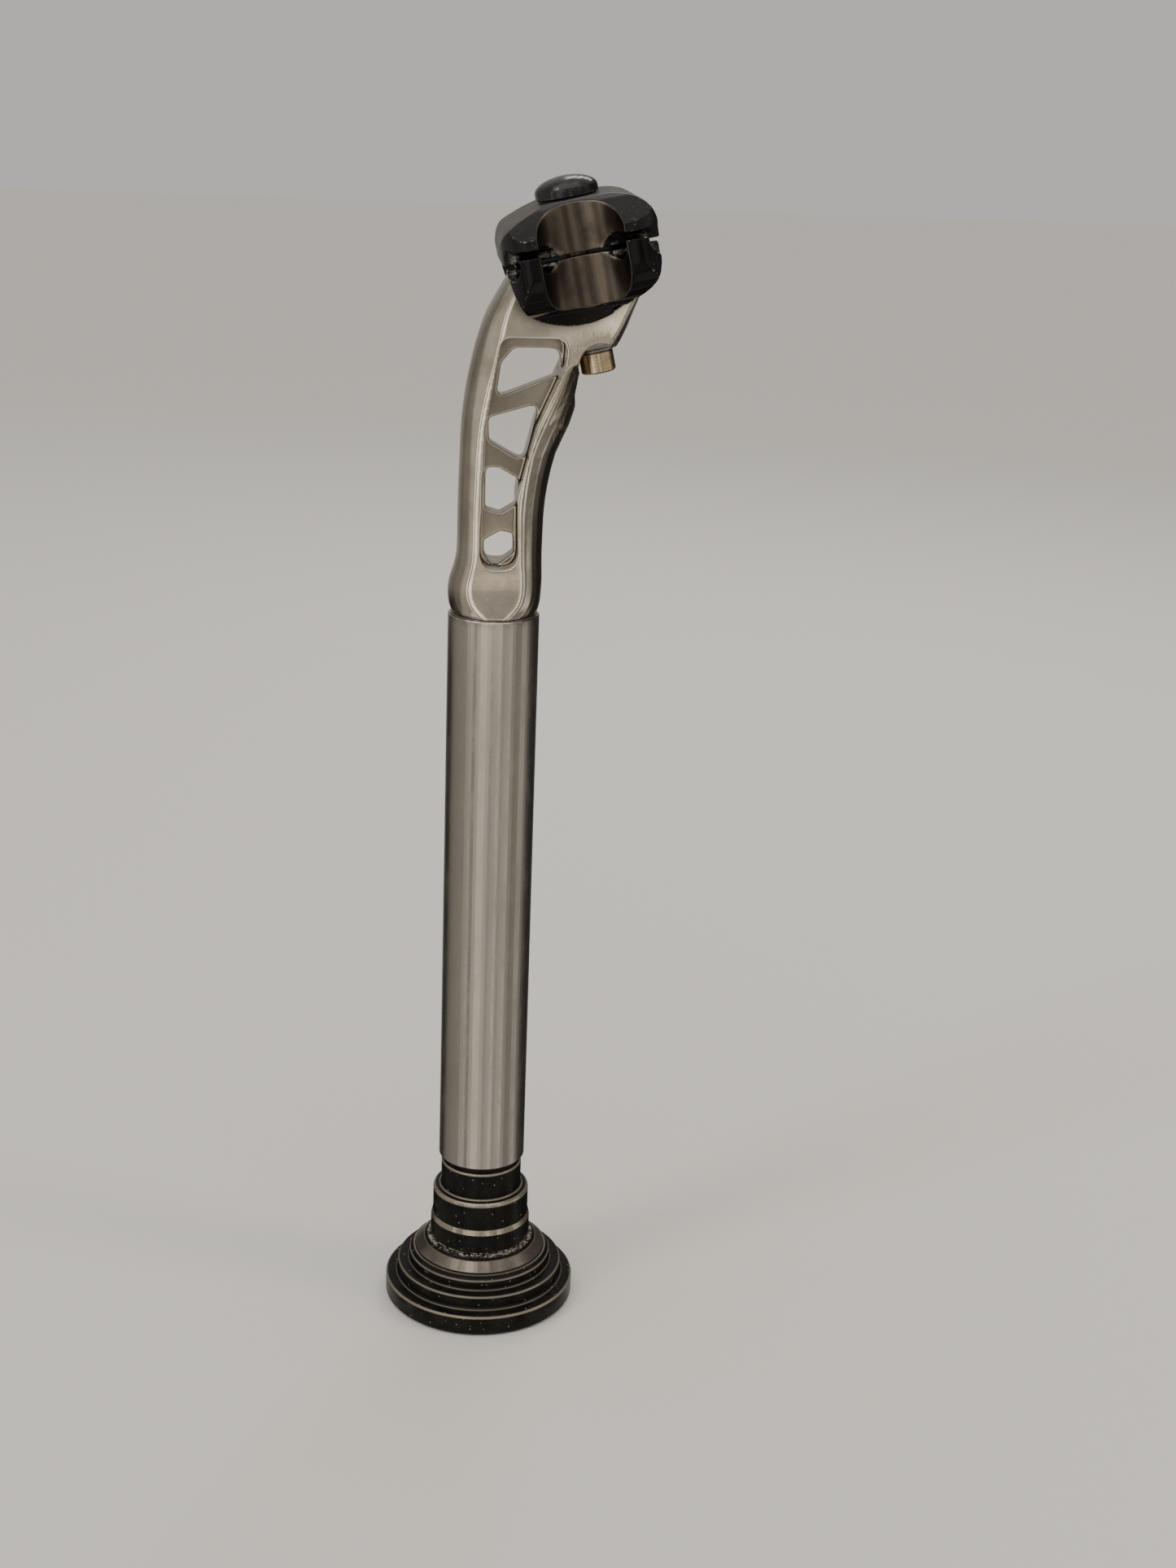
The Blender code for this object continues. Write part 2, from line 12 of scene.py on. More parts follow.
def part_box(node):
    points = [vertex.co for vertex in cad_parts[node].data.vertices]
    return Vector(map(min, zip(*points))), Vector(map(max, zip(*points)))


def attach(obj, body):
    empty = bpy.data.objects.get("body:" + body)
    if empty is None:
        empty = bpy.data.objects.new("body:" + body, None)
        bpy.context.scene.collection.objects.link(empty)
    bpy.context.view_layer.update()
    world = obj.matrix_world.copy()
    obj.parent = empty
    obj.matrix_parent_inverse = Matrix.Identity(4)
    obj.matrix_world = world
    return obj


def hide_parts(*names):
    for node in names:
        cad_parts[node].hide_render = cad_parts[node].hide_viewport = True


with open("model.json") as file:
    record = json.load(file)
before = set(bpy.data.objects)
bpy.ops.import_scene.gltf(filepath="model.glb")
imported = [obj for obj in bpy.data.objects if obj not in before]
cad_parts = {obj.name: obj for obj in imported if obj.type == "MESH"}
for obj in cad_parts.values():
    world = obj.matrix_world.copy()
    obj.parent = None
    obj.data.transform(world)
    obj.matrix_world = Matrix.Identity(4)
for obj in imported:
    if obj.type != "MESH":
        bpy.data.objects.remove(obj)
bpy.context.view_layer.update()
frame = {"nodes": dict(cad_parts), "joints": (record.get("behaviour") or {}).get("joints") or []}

MM = 0.001
NODES = frame["nodes"]
JOINTS = {joint["name"]: joint for joint in frame["joints"]}

# The clamp's own frame: U along the rails, Y across them, W up the bolt
PIVOT = Vector(JOINTS["clamp_tilt"]["pos_m"])
BOLT_UP = Vector(JOINTS["clamp_open"]["axis"]).normalized()
RAIL_WAY = Vector((0, 1, 0)).cross(BOLT_UP)

# Places on the pieces, in millimetres
SCOOP_R, SCOOP_Y = 12.0, 28.8  # the scoops in the clamp's sides
RAIL_Y, RAIL_EDGE = 22.0, 4.3  # the rail grooves, and how far their bare metal reaches
TUBE_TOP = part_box("seat_tube")[1][2] / MM
SOOT_H = 2.4  # the dirty band at the top of the tube
DULL_HALF = 9.6  # the neck's finish is dull and darker inside this half width
NOTCH = (28.3, 302.0)  # the arch over the bolt's head: x and height
NOTCH_NEAR, NOTCH_FAR = 8.0, 12.5
BATTERED_X, BATTERED_Z = (13.0, 17.0), (266.0, 300.0)  # the gouged back of the neck
CONE_Z, CONE_R = (16.95, 19.4), (17.9, 20.9)  # the stand's pale cone
CHAMFER_Z, CHAMFER_R = (27.35, 28.85), (15.2, 16.2)  # the bush's bare chamfer
RESIDUE_Z, RESIDUE_R = (20.2, 21.1), (15.5, 17.3)  # the pale ring round the foot of the bush

BLACK = (0.008, 0.0077, 0.0074)
WORN = (0.56, 0.53, 0.49)


# ---------------------------------------------------------------- materials

class Nodes:
    """A material's node tree with short ways to add and join nodes."""

    def __init__(self, name):
        self.mat = bpy.data.materials.new(name)
        self.mat.use_nodes = True
        self.tree = self.mat.node_tree
        self.shader = self.tree.nodes["Principled BSDF"]

    def join(self, socket, value):
        if isinstance(value, bpy.types.NodeSocket):
            self.tree.links.new(value, socket)
        elif isinstance(value, tuple) and len(value) == 3 and len(socket.default_value) == 4:
            socket.default_value = (*value, 1)
        else:
            socket.default_value = value

    def set(self, **sockets):
        for name, value in sockets.items():
            self.join(self.shader.inputs[name.replace("_", " ")], value)
        return self.mat

    def add(self, kind, **inputs):
        node = self.tree.nodes.new("ShaderNode" + kind)
        for name, value in inputs.items():
            socket = int(name[1:]) if name[0] == "_" else name.replace("_", " ")
            self.join(node.inputs[socket], value)
        return node

    def place(self, scale=(1, 1, 1)):
        """Positions on the piece in millimetres, stretched by a scale."""
        spot = self.add("TexCoord").outputs["Object"]
        return self.add("Mapping", Vector=spot, Scale=[1000 * s for s in scale]).outputs["Vector"]

    def clamp_place(self, scale=(1, 1, 1)):
        """Positions in the clamp's own frame, in millimetres, stretched by a scale."""
        spot = self.add("TexCoord").outputs["Object"]
        moved = self.add("VectorMath", _0=spot, _1=tuple(PIVOT))
        moved.operation = "SUBTRACT"
        axes = []
        for axis, size in zip((RAIL_WAY, Vector((0, 1, 0)), BOLT_UP), scale):
            dot = self.add("VectorMath", _0=moved.outputs[0], _1=tuple(axis * 1000 * size))
            dot.operation = "DOT_PRODUCT"
            axes.append(dot.outputs["Value"])
        return self.add("CombineXYZ", X=axes[0], Y=axes[1], Z=axes[2]).outputs[0]

    def noise(self, where, scale, detail=4.0, rough=0.5):
        node = self.add("TexNoise", Vector=where, Scale=scale, Detail=detail, Roughness=rough)
        return node.outputs["Fac"]

    def ramp(self, value, low, high, out_low=0.0, out_high=1.0):
        return self.add("MapRange", Value=value, _1=low, _2=high, _3=out_low, _4=out_high).outputs[0]

    def band(self, value, low, high, soft):
        """1 between two values, falling to 0 over a soft edge."""
        return self.math(
            "MULTIPLY", self.ramp(value, low - soft, low), self.ramp(value, high, high + soft, 1.0, 0.0)
        )

    def math(self, how, a, b=0.0):
        node = self.add("Math", _0=a, _1=b)
        node.operation = how
        return node.outputs[0]

    def times(self, *values):
        result = values[0]
        for value in values[1:]:
            result = self.math("MULTIPLY", result, value)
        return result

    def most(self, *values):
        result = values[0]
        for value in values[1:]:
            result = self.math("MAXIMUM", result, value)
        return result

    def mix(self, fac, a, b):
        node = self.add("Mix")
        node.data_type = "RGBA"
        for index, value in ((0, fac), (6, a), (7, b)):
            self.join(node.inputs[index], value)
        return node.outputs[2]

    def blend(self, fac, a, b):
        """Between two numbers."""
        node = self.add("Mix", _0=fac, _2=a, _3=b)
        return node.outputs[0]

    def bump(self, height, strength, depth_mm, normal=None):
        node = self.add("Bump", Strength=strength, Distance=depth_mm * MM, Height=height)
        if normal:
            self.tree.links.new(normal, node.inputs["Normal"])
        return node.outputs["Normal"]

    def split(self, where):
        node = self.add("SeparateXYZ", _0=where)
        return node.outputs[0], node.outputs[1], node.outputs[2]

    def radius(self, x, y):
        return self.math("SQRT", self.math("ADD", self.times(x, x), self.times(y, y)))

    def edge(self, width_mm, low=0.02, high=0.25):
        """1 on an edge that sticks out or in, 0 on open faces."""
        rounded = self.add("Bevel", Radius=width_mm * MM)
        rounded.samples = 6
        flat = self.add("NewGeometry").outputs["Normal"]
        near = self.add("VectorMath", _0=rounded.outputs[0], _1=flat)
        near.operation = "DOT_PRODUCT"
        return self.ramp(self.math("SUBTRACT", 1.0, near.outputs["Value"]), low, high)

    def ring(self, away, z, radius, height, width, amount):
        """An amount on a circle of a given radius and height round the tube's axis, fading over a width."""
        near = self.radius(self.math("SUBTRACT", away, radius), self.math("SUBTRACT", z, height))
        return self.ramp(near, width, width * 0.4, 0.0, amount)

    def wear(self):
        """The wear stored on a fine mesh: 1 on its outer edges, falling away from them."""
        node = self.add("Attribute")
        node.attribute_name = "wear"
        return node.outputs["Fac"]

    def scratches(self, where, low=0.71, high=0.74):
        return self.ramp(self.noise(where, 1.0, 2.0), low, high)

    def specks(self, where, scale, size):
        cells = self.add("TexVoronoi", Vector=where, Scale=scale)
        return self.ramp(cells.outputs["Distance"], size, size * 0.6)


def satin_tube():
    m = Nodes("look_satin_aluminium")
    turning = m.noise(m.place((0.05, 0.05, 7.0)), 1.0, 3.0)
    cloud = m.noise(m.place((1, 1, 0.35)), 0.07, 5.0, 0.62)
    smudge = m.ramp(m.noise(m.place((1, 1, 0.5)), 0.16, 6.0, 0.7), 0.48, 0.68)
    lines = m.most(
        m.scratches(m.place((2.6, 2.6, 0.03)), 0.72, 0.75),
        m.scratches(m.place((0.25, 0.25, 3.2)), 0.76, 0.79),
    )
    colour = m.mix(m.ramp(cloud, 0.3, 0.7), (0.56, 0.53, 0.485), (0.47, 0.44, 0.40))
    colour = m.mix(m.times(smudge, 0.3), colour, (0.42, 0.38, 0.325))
    height = m.split(m.place())[2]
    patchy = m.ramp(m.noise(m.place((1, 1, 2)), 0.6, 4.0), 0.35, 0.6)
    soot = m.times(m.ramp(height, TUBE_TOP - SOOT_H, TUBE_TOP), patchy)
    colour = m.mix(m.times(soot, 0.6), colour, (0.20, 0.18, 0.155))
    rough = m.blend(smudge, m.ramp(cloud, 0.3, 0.75, 0.23, 0.29), 0.36)
    rough = m.math("ADD", rough, m.times(lines, 0.10))
    normal = m.bump(turning, 0.18, 0.012)
    normal = m.bump(m.math("SUBTRACT", 1.0, lines), 0.25, 0.02, normal)
    return m.set(Base_Color=colour, Metallic=1.0, Roughness=rough, Normal=normal)


def polished_neck():
    m = Nodes("look_polished_aluminium")
    place = m.place()
    x, y, z = m.split(place)
    cloud = m.noise(place, 0.09, 5.0, 0.6)
    film = m.ramp(m.noise(m.place((1, 1, 0.5)), 0.13, 6.0, 0.68), 0.45, 0.7)
    lines = m.most(
        m.scratches(m.place((1.9, 1.9, 0.06)), 0.73, 0.76),
        m.scratches(m.place((0.3, 1.2, 1.4)), 0.765, 0.79),
    )
    colour = m.mix(m.ramp(cloud, 0.4, 0.62), (0.84, 0.78, 0.68), (0.60, 0.545, 0.455))
    colour = m.mix(m.times(film, 0.35), colour, (0.72, 0.62, 0.50))
    # Everything between the flat sides is dull and darker, and the worn rear carries gouges
    inside = m.ramp(m.math("ABSOLUTE", y), DULL_HALF, DULL_HALF - 1.0)
    grain = m.noise(place, 2.6, 4.0)
    rear = m.times(m.ramp(x, *BATTERED_X), m.band(z, *BATTERED_Z, 6.0))
    # Round the arch over the bolt's head the neck is also darker, rougher and scratched, like the rear
    from_notch = m.radius(m.math("SUBTRACT", x, NOTCH[0]), m.math("SUBTRACT", z, NOTCH[1]))
    notch = m.ramp(from_notch, NOTCH_FAR, NOTCH_NEAR)
    battered = m.most(rear, notch)
    gouges = m.times(battered, m.scratches(m.place((0.8, 0.8, 0.35)), 0.56, 0.64))
    rough = m.blend(film, m.ramp(cloud, 0.3, 0.75, 0.10, 0.16), 0.22)
    rough = m.most(rough, m.times(battered, 0.26), m.times(gouges, 0.42), m.times(lines, 0.24))
    # Painted shade: ambient occlusion darkens the colour in the neck's corners and round the rims of its
    # pockets
    corners = m.add("AmbientOcclusion", Distance=4.5 * MM)
    corners.samples = 8
    shade = m.ramp(corners.outputs["AO"], 0.97, 0.5)
    colour = m.mix(m.most(m.times(inside, 0.6), m.times(shade, 0.9)), colour, (0.15, 0.135, 0.11))
    rough = m.most(rough, m.times(inside, 0.2))
    colour = m.mix(m.times(battered, m.ramp(cloud, 0.3, 0.6, 0.9, 0.55)), colour, (0.30, 0.26, 0.20))
    colour = m.mix(m.times(gouges, 0.6), colour, (0.58, 0.53, 0.45))
    normal = m.bump(grain, 0.06, 0.03)
    normal = m.bump(m.math("SUBTRACT", 1.0, m.most(gouges, m.times(lines, 0.3))), 0.5, 0.05, normal)
    return m.set(Base_Color=colour, Metallic=1.0, Roughness=rough, Normal=normal)


def clamp_black(name, base, rough_low, rough_high, edge_colour, edge_amount):
    """Black clamp finish with bare machined scoops, and bright metal where its edges are worn."""
    m = Nodes(name)
    place = m.clamp_place()
    u, y, w = m.split(place)
    away = m.radius(u, m.math("SUBTRACT", m.math("ABSOLUTE", y), SCOOP_Y))
    scoop = m.ramp(away, SCOOP_R + 0.28, SCOOP_R + 0.12)
    cut = m.radius(w, m.math("SUBTRACT", m.math("ABSOLUTE", y), RAIL_Y))
    groove = m.ramp(cut, RAIL_EDGE, RAIL_EDGE - 0.4)
    cloud = m.noise(place, 0.16, 5.0, 0.6)
    fine = m.noise(place, 1.6, 5.0, 0.65)
    rub = m.ramp(m.math("ADD", m.wear(), m.ramp(fine, 0.35, 0.65, -0.75, 0.15)), 0.55, 0.85)
    rub = m.times(rub, m.math("SUBTRACT", 1.0, m.ramp(away, SCOOP_R + 1.0, SCOOP_R + 0.5)))
    ticks = m.scratches(m.clamp_place((0.35, 1.6, 1.6)), 0.73, 0.76)
    bare = m.most(m.times(rub, edge_amount), m.times(ticks, 0.35))
    colour = m.mix(m.ramp(cloud, 0.35, 0.7), base, tuple(c * 1.6 for c in base))
    dust = m.specks(place, 0.55, 0.12)
    colour = m.mix(m.times(dust, 0.10), colour, (0.45, 0.43, 0.40))
    colour = m.mix(bare, colour, edge_colour)
    lines = m.noise(m.clamp_place((2.2, 2.2, 0.06)), 1.0, 3.0)
    metal = m.mix(m.ramp(lines, 0.3, 0.7), (0.120, 0.101, 0.084), (0.092, 0.078, 0.066))
    metal = m.mix(m.ramp(cloud, 0.5, 0.75), metal, (0.060, 0.052, 0.045))
    colour = m.mix(scoop, colour, metal)
    seat = m.mix(m.ramp(fine, 0.4, 0.65), (0.34, 0.325, 0.30), (0.05, 0.046, 0.042))
    colour = m.mix(m.times(groove, m.ramp(cloud, 0.54, 0.42)), colour, seat)
    bright = m.most(bare, scoop, groove)
    rough = m.blend(bright, m.ramp(cloud, 0.3, 0.75, rough_low, rough_high), 0.27)
    normal = m.bump(m.blend(scoop, fine, lines), 0.14, 0.03)
    return m.set(
        Base_Color=colour, Metallic=m.blend(bright, 0.15, 1.0), Roughness=rough, Normal=normal,
        Specular_IOR_Level=0.14,
    )


# Radius, height, width (mm) and brightness of the stand's worn edges
WORN_RINGS = (
    (12.75, 47.2, 0.55, 0.8), (15.2, 37.75, 0.9, 1.0), (13.2, 38.5, 0.4, 0.5), (22.6, 14.9, 0.45, 0.35),
    (21.2, 16.2, 0.4, 0.35), (26.3, 11.3, 0.5, 0.45), (30.1, 6.3, 0.55, 0.55), (23.1, 11.9, 0.3, 0.25),
    (27.0, 7.2, 0.3, 0.25),
)


def stand_black():
    m = Nodes("look_black_stand")
    place = m.place()
    x, y, z = m.split(place)
    cloud = m.noise(place, 0.12, 5.0, 0.6)
    fine = m.noise(place, 1.3, 5.0, 0.65)
    away = m.radius(x, y)
    edge = m.most(*(m.ring(away, z, *spot) for spot in WORN_RINGS))
    rub = m.times(edge, m.ramp(fine, 0.25, 0.55, 0.45, 1.0))
    cone = m.times(m.band(z, *CONE_Z, 0.12), m.band(away, *CONE_R, 0.2))
    chamfer = m.times(m.band(z, *CHAMFER_Z, 0.12), m.band(away, *CHAMFER_R, 0.2))
    bright = m.most(m.times(rub, 0.85), m.times(cone, 0.85), m.times(chamfer, 0.9))
    turning = m.noise(m.place((0.1, 0.1, 4.0)), 1.0, 2.0)
    metal = m.mix(m.ramp(fine, 0.35, 0.7), (0.62, 0.56, 0.46), (0.42, 0.37, 0.295))
    colour = m.mix(m.ramp(cloud, 0.35, 0.7), (0.005, 0.0047, 0.0043), (0.010, 0.009, 0.0075))
    dust = m.most(m.specks(place, 0.4, 0.13), m.times(m.specks(place, 1.3, 0.12), 0.6))
    haze = m.ramp(m.noise(place, 0.5, 6.0, 0.7), 0.5, 0.75)
    colour = m.mix(m.math("ADD", m.times(dust, 0.3), m.times(haze, 0.015)), colour, (0.50, 0.47, 0.42))
    pale = m.mix(m.ramp(cloud, 0.35, 0.65), (0.34, 0.30, 0.255), (0.22, 0.195, 0.165))
    metal = m.mix(cone, metal, pale)
    colour = m.mix(bright, colour, metal)
    # A ragged pale ring of residue round the foot of the bush
    ragged = m.ramp(m.noise(m.place((1, 1, 1.5)), 0.9, 5.0, 0.7), 0.47, 0.60)
    inner, outer = RESIDUE_R
    residue = m.times(
        m.band(z, *RESIDUE_Z, 0.15), m.ramp(away, inner, inner + 0.3), m.ramp(away, outer, outer - 0.6),
        ragged,
    )
    colour = m.mix(residue, colour, m.mix(fine, (0.50, 0.46, 0.40), (0.24, 0.215, 0.18)))
    rough = m.blend(bright, m.ramp(cloud, 0.3, 0.75, 0.26, 0.40), 0.17)
    rough = m.blend(residue, rough, 0.75)
    metallic = m.times(m.blend(bright, 0.1, 1.0), m.math("SUBTRACT", 1.0, residue))
    normal = m.bump(turning, 0.12, 0.02)
    normal = m.bump(m.math("ADD", residue, m.times(fine, 0.1)), 0.4, 0.15, normal)
    return m.set(
        Base_Color=colour, Metallic=metallic, Roughness=rough, Normal=normal, Specular_IOR_Level=0.13
    )


def dome_black():
    m = Nodes("look_gloss_nut")
    place = m.clamp_place()
    fine = m.noise(place, 1.2, 5.0, 0.65)
    cloud = m.noise(place, 0.25, 4.0)
    edge = m.edge(0.5, 0.03, 0.2)
    rub = m.times(m.ramp(m.math("ADD", edge, m.ramp(fine, 0.3, 0.7, -0.3, 0.2)), 0.4, 0.8), 0.7)
    lines = m.scratches(m.clamp_place((2.4, 0.5, 1.0)), 0.71, 0.74)
    bare = m.most(rub, m.times(lines, 0.25))
    colour = m.mix(bare, m.mix(m.ramp(cloud, 0.35, 0.7), BLACK, (0.028, 0.027, 0.027)), WORN)
    rough = m.blend(bare, m.ramp(cloud, 0.3, 0.7, 0.12, 0.22), 0.35)
    return m.set(
        Base_Color=colour, Metallic=m.blend(bare, 0.1, 1.0), Roughness=rough, Specular_IOR_Level=0.35,
        Normal=m.bump(fine, 0.08, 0.03),
    )


def steel(name, light, dark, roughness, grease):
    """Bare or plated steel with fine lines round the bolt's axis."""
    m = Nodes(name)
    place = m.clamp_place()
    lines = m.noise(m.clamp_place((0.25, 0.25, 3.0)), 1.0, 3.0)
    cloud = m.noise(place, 0.35, 4.0, 0.55)
    colour = m.mix(m.ramp(lines, 0.35, 0.65), light, dark)
    colour = m.mix(m.times(m.ramp(cloud, 0.55, 0.75), grease), colour, (0.12, 0.095, 0.07))
    rough = m.ramp(cloud, 0.3, 0.7, roughness * 0.8, roughness * 1.35)
    return m.set(Base_Color=colour, Metallic=1.0, Roughness=rough, Normal=m.bump(lines, 0.2, 0.02))


# ---------------------------------------------------------------- finer meshes

def outer_edges(mesh, angle):
    """Points along a mesh's convex edges."""
    bm = bmesh.new()
    bm.from_mesh(mesh)
    spots = []
    for edge in bm.edges:
        if len(edge.link_faces) == 2 and edge.calc_face_angle_signed(0) > radians(angle):
            a, b = (vert.co for vert in edge.verts)
            steps = max(1, round((b - a).length / (0.3 * MM)))
            spots += [a.lerp(b, i / steps) for i in range(steps + 1)]
    bm.free()
    tree = KDTree(len(spots))
    for i, spot in enumerate(spots):
        tree.insert(spot, i)
    tree.balance()
    return tree


def built(name, bm):
    """An object made from a bmesh, which is freed."""
    mesh = bpy.data.meshes.new(name)
    bm.to_mesh(mesh)
    bm.free()
    piece = bpy.data.objects.new(name, mesh)
    bpy.context.scene.collection.objects.link(piece)
    return piece


def spun(profile, steps, closed):
    """A profile of (radius, height) points in metres, spun round the tube's axis."""
    bm = bmesh.new()
    rings = []
    for i in range(steps):
        angle = 2 * pi * i / steps
        rings.append([bm.verts.new((r * cos(angle), r * sin(angle), z)) for r, z in profile])
    count = len(profile)
    for here, after in zip(rings, rings[1:] + rings[:1]):
        for j in range(count if closed else count - 1):
            k = (j + 1) % count
            bm.faces.new((here[j], after[j], after[k], here[k]))
    return bm


def welded(node):
    """A copy of a CAD node's mesh with its doubled points merged."""
    bm = bmesh.new()
    bm.from_mesh(NODES[node].data)
    bmesh.ops.remove_doubles(bm, verts=bm.verts, dist=1e-6)
    mesh = bpy.data.meshes.new(node + "_fine")
    bm.to_mesh(mesh)
    bm.free()
    return mesh


def stand_in(node, piece_name, body, look, shape):
    """A finer piece in place of a CAD node, shaped by the modifiers that shape() adds to it."""
    mesh = welded(node)
    piece = bpy.data.objects.new(piece_name, mesh)
    bpy.context.scene.collection.objects.link(piece)
    shape(piece)
    fine = bpy.data.meshes.new_from_object(piece.evaluated_get(bpy.context.evaluated_depsgraph_get()))
    piece.modifiers.clear()
    piece.data = fine
    fine.materials.clear()
    fine.materials.append(look)
    fine.shade_smooth()
    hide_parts(node)
    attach(piece, body)
    return piece, mesh


def softened(voxel_mm, passes, kept=1.0):
    """Round a piece's edges: remeshed, smoothed, and thinned to the share of its faces that is kept."""
    def shape(piece):
        remesh = piece.modifiers.new("Remesh", "REMESH")
        remesh.mode = "VOXEL"
        remesh.voxel_size = voxel_mm * MM
        ease = piece.modifiers.new("Smooth", "SMOOTH")
        ease.factor = 0.5
        ease.iterations = passes
        if kept < 1:
            thin = piece.modifiers.new("Decimate", "DECIMATE")
            thin.ratio = kept
    return shape


def mark_wear(piece, mesh, reach_mm, angle=28):
    """Store how near each point of the piece lies to an outer edge of the CAD mesh."""
    tree = outer_edges(mesh, angle)
    wear = piece.data.attributes.new("wear", "FLOAT", "POINT")
    for vert in piece.data.vertices:
        distance = tree.find(vert.co)[2] / MM
        wear.data[vert.index].value = max(0.0, 1.0 - distance / reach_mm)


upper, upper_cad = stand_in(
    "upper_clamp", "upper_clamp_body", "top_clamp",
    clamp_black("look_anodised", (0.010, 0.0098, 0.0098), 0.28, 0.38, (0.30, 0.28, 0.25), 0.6),
    softened(0.28, 8),
)
mark_wear(upper, upper_cad, 0.7)
lower, lower_cad = stand_in(
    "lower_cradle", "lower_cradle_body", "cradle",
    clamp_black("look_gloss_black", (0.005, 0.0048, 0.0048), 0.09, 0.18, WORN, 0.9),
    softened(0.28, 8),
)
mark_wear(lower, lower_cad, 0.7)
stand_in(
    "neck_forging", "neck_body", "post", polished_neck(), softened(0.24, 10, 0.4)
)


def bond_line():
    """The thin grey line of adhesive between the collar and the tube."""
    inner, outer, proud = 11.2, 12.75, 0.14
    low, high, ease = TUBE_TOP - 0.02, TUBE_TOP + 0.32, 0.1
    profile = (
        (inner, low), (outer, low), (outer + proud, low + ease), (outer + proud, high - ease),
        (outer, high), (inner, high),
    )
    bm = spun([(r * MM, z * MM) for r, z in profile], 128, closed=True)
    bmesh.ops.recalc_face_normals(bm, faces=bm.faces)
    ring = built("bond_line", bm)
    m = Nodes("look_bond_line")
    cloud = m.noise(m.place(), 1.2, 4.0)
    ring.data.materials.append(m.set(
        Base_Color=m.mix(m.ramp(cloud, 0.35, 0.65), (0.30, 0.28, 0.25), (0.12, 0.11, 0.095)),
        Metallic=0.8, Roughness=m.ramp(cloud, 0.3, 0.7, 0.3, 0.5), Normal=m.bump(cloud, 0.3, 0.05),
    ))
    ring.data.shade_smooth()
    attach(ring, "post")


bond_line()

FINISH = {
    "stand_base": stand_black(),
    "seat_tube": satin_tube(),
    "dome_nut": dome_black(),
    "clamp_bolt": steel("look_bolt", (0.62, 0.50, 0.33), (0.50, 0.40, 0.26), 0.24, 0.18),
    "flat_washer": steel("look_washer", (0.30, 0.29, 0.275), (0.17, 0.165, 0.155), 0.34, 0.6),
}
FINISH["stand_bush"] = FINISH["stand_base"]
FINISH["seat_washer"] = FINISH["flat_washer"]
for name, look in FINISH.items():
    NODES[name].data.materials.clear()
    NODES[name].data.materials.append(look)


# ---------------------------------------------------------------- stage

FLOOR = 6.0
FLOOR_COLOUR = (0.60, 0.585, 0.56)
AROUND_COLOUR, AROUND_LIGHT = (0.58, 0.556, 0.525, 1), 0.95
OVER_LIGHT, OVER_ANGLE = 1.18, 70  # a wide soft sun: its strength and the degrees that it spans
# Soft lamps: name, place and size in metres, power and colour
LAMPS = (
    ("left", (-0.85, -0.55, 0.85), (0.30, 0.9), 5.0, (1.0, 0.95, 0.88)),
    ("right", (0.95, -0.35, 0.7), (0.25, 0.9), 4.0, (1.0, 0.90, 0.76)),
    ("rear", (0.35, 1.05, 1.0), (0.8, 0.5), 5.0, (1.0, 0.97, 0.94)),
)

# What the metal mirrors low down, round the tube, and high up, round the neck and the clamp:
# degrees round from the front (positive towards +X), and brightness
TENT_LOW = (
    (-180, 0.42), (-160, 0.34), (-149, 0.03), (-124, 0.03), (-112, 0.26), (-74, 0.34), (-64, 0.22),
    (-57, 1.10), (-50, 0.16), (-41, 0.24), (-32, 0.98), (-14, 0.88), (-7, 0.42), (6, 0.36), (11, 0.90),
    (20, 0.80), (25, 0.15), (31, 0.18), (36, 1.05), (43, 0.72), (50, 0.26), (72, 0.22), (81, 0.80),
    (90, 0.34), (104, 0.06), (122, 0.03), (149, 0.03), (162, 0.32), (180, 0.42),
)
TENT_HIGH = (
    (-180, 0.42), (-158, 0.44), (-132, 0.26), (-112, 0.40), (-80, 0.46), (-66, 0.30), (-57, 1.80),
    (-48, 0.40), (-41, 0.22), (-31, 1.60), (-13, 1.30), (-7, 0.40), (6, 0.30), (10, 0.55), (16, 1.25),
    (22, 0.80), (27, 0.10), (33, 0.12), (40, 1.00), (48, 0.50), (56, 0.20), (72, 0.16), (81, 0.50),
    (90, 0.20), (104, 0.06), (122, 0.03), (149, 0.03), (162, 0.32), (180, 0.42),
)
TENT_PROFILE = ((0.034, 0.0004), (0.12, 0.0004), (0.18, 0.006), (0.19, 0.03), (0.19, 0.46))


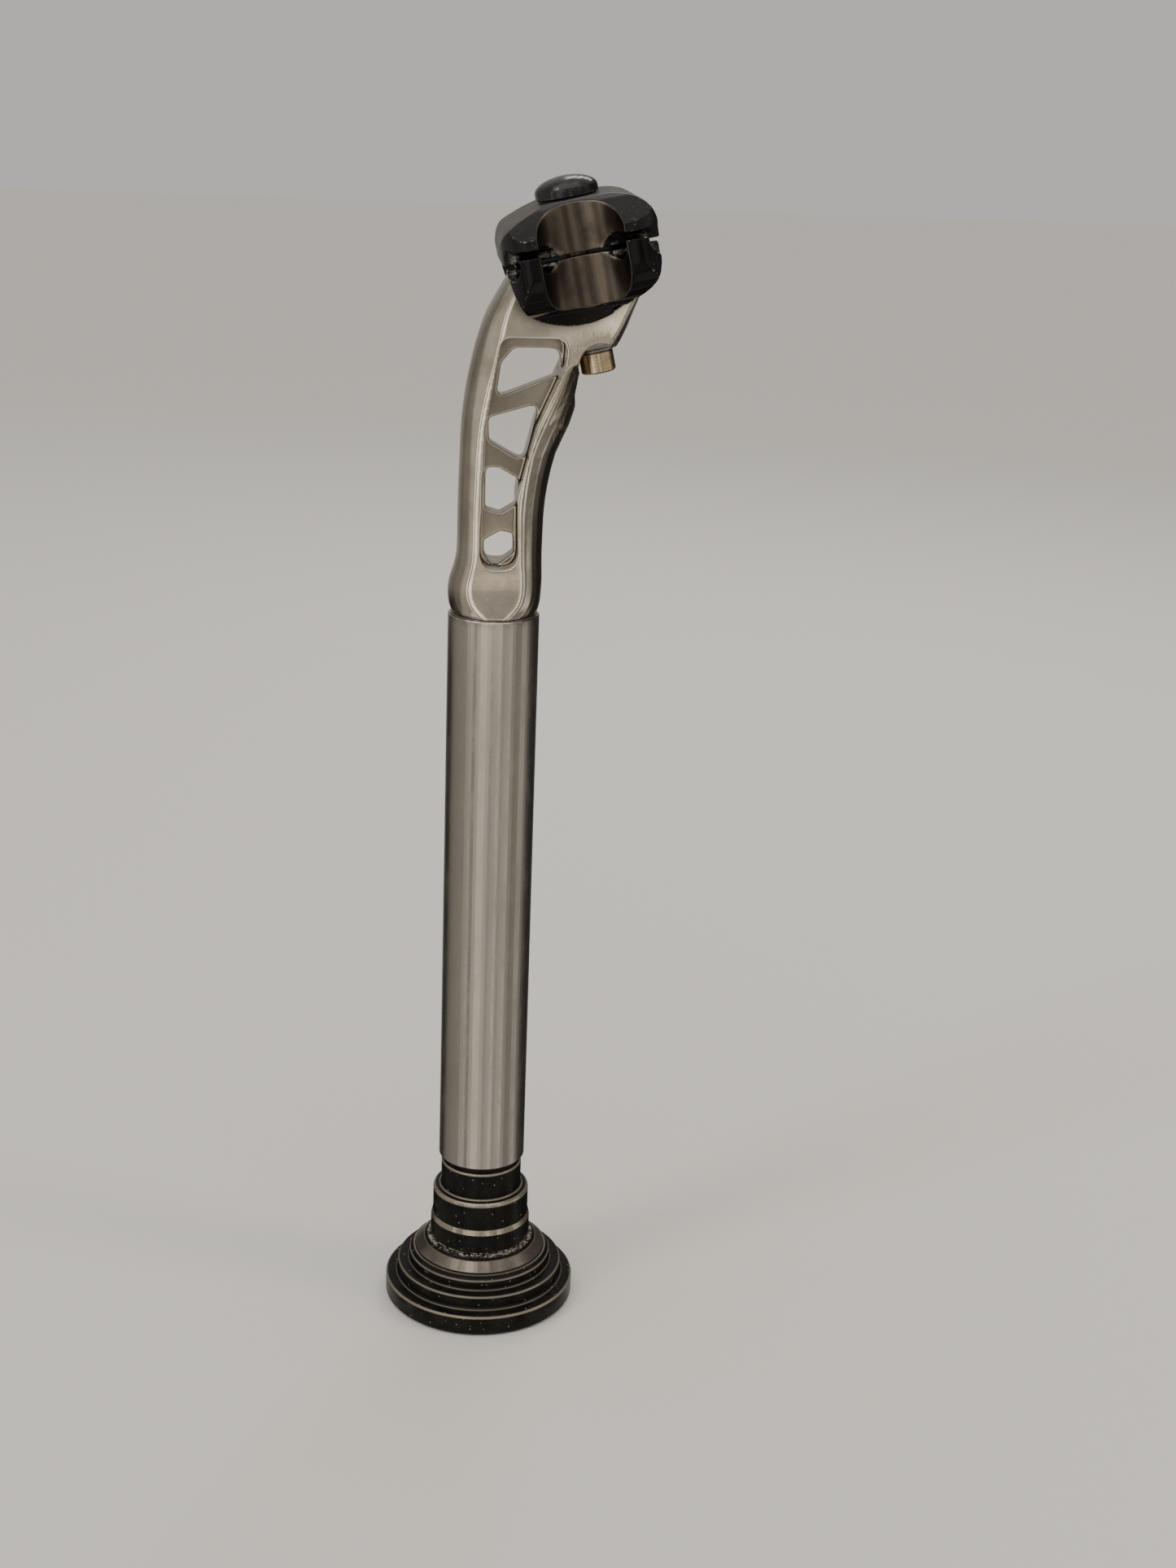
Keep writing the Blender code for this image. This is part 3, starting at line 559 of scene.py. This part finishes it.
def tent():
    """A round tent of soft light and dark stripes, which shows only as reflections in the object."""
    m = Nodes("tent_stripes")
    x, y, z = m.split(m.add("TexCoord").outputs["Object"])
    around = m.ramp(m.math("ARCTAN2", x, m.times(y, -1.0)), -pi, pi)
    looks = []
    for table in (TENT_LOW, TENT_HIGH):
        stripes = m.add("ValToRGB", Fac=around)
        points = stripes.color_ramp.elements
        while len(points) < len(table):
            points.new(0.5)
        for point, (degrees_round, light) in zip(points, table):
            point.position = degrees_round / 360 + 0.5
            point.color = (light, light * 0.94, light * 0.84, 1)
        looks.append(stripes.outputs["Color"])
    # A warm light low in front, which the collar mirrors
    glow = m.times(m.band(z, 0.191, 0.202, 0.008), m.band(around, 0.475, 0.525, 0.03))
    light = m.mix(glow, m.mix(m.ramp(z, 0.175, 0.205), *looks), (1.5, 1.3, 1.0))
    look = m.set(
        Base_Color=(0.0, 0.0, 0.0), Specular_IOR_Level=0.0, Emission_Strength=1.0, Emission_Color=light,
    )
    wall = built("tent", spun(TENT_PROFILE, 96, closed=False))
    wall.data.materials.append(look)
    wall.visible_camera = wall.visible_diffuse = wall.visible_shadow = False


def studio():
    bm = bmesh.new()
    bmesh.ops.create_grid(bm, x_segments=1, y_segments=1, size=FLOOR)
    floor = built("floor", bm)
    floor.data.materials.append(
        Nodes("pale_floor").set(Base_Color=FLOOR_COLOUR, Roughness=0.9, Specular_IOR_Level=0.0)
    )
    floor.location.z = -0.0002

    world = bpy.data.worlds.new("studio")
    world.use_nodes = True
    background = world.node_tree.nodes["Background"]
    background.inputs["Color"].default_value = AROUND_COLOUR
    background.inputs["Strength"].default_value = AROUND_LIGHT
    bpy.context.scene.world = world

    tent()
    target = Vector((0.01, 0, 0.22))
    for name, place, size, power, colour in LAMPS:
        light = bpy.data.lights.new(name, "AREA")
        light.shape = "RECTANGLE"
        light.size, light.size_y = size
        light.energy = power
        light.color = colour
        lamp = bpy.data.objects.new(name, light)
        lamp.location = place
        lamp.rotation_euler = (target - Vector(place)).to_track_quat("-Z", "Y").to_euler()
        lamp.visible_camera = False
        bpy.context.scene.collection.objects.link(lamp)

    sky = bpy.data.lights.new("over", "SUN")
    sky.energy = OVER_LIGHT
    sky.angle = radians(OVER_ANGLE)
    sky.color = (1.0, 0.97, 0.93)
    lamp = bpy.data.objects.new("over", sky)
    lamp.rotation_euler = (radians(14), radians(-10), 0)
    bpy.context.scene.collection.objects.link(lamp)


def camera():
    """The photograph's viewpoint: a little above the clamp, turned a little towards its front."""
    turn, pitch, roll = radians(5.5), 0.316, 0.0374
    spot = Vector((0.0299, -0.6303, 0.3811))
    lens = bpy.data.cameras.new("camera")
    lens.lens = 50.0
    lens.sensor_width = 36.0
    lens.clip_start = 0.01
    view = bpy.data.objects.new("camera", lens)
    aim = Matrix.Rotation(-turn, 4, "Z") @ Matrix.Translation(spot)
    view.matrix_world = aim @ Matrix.Rotation(pi / 2 - pitch, 4, "X") @ Matrix.Rotation(roll, 4, "Z")
    bpy.context.scene.collection.objects.link(view)
    bpy.context.scene.camera = view


studio()
camera()
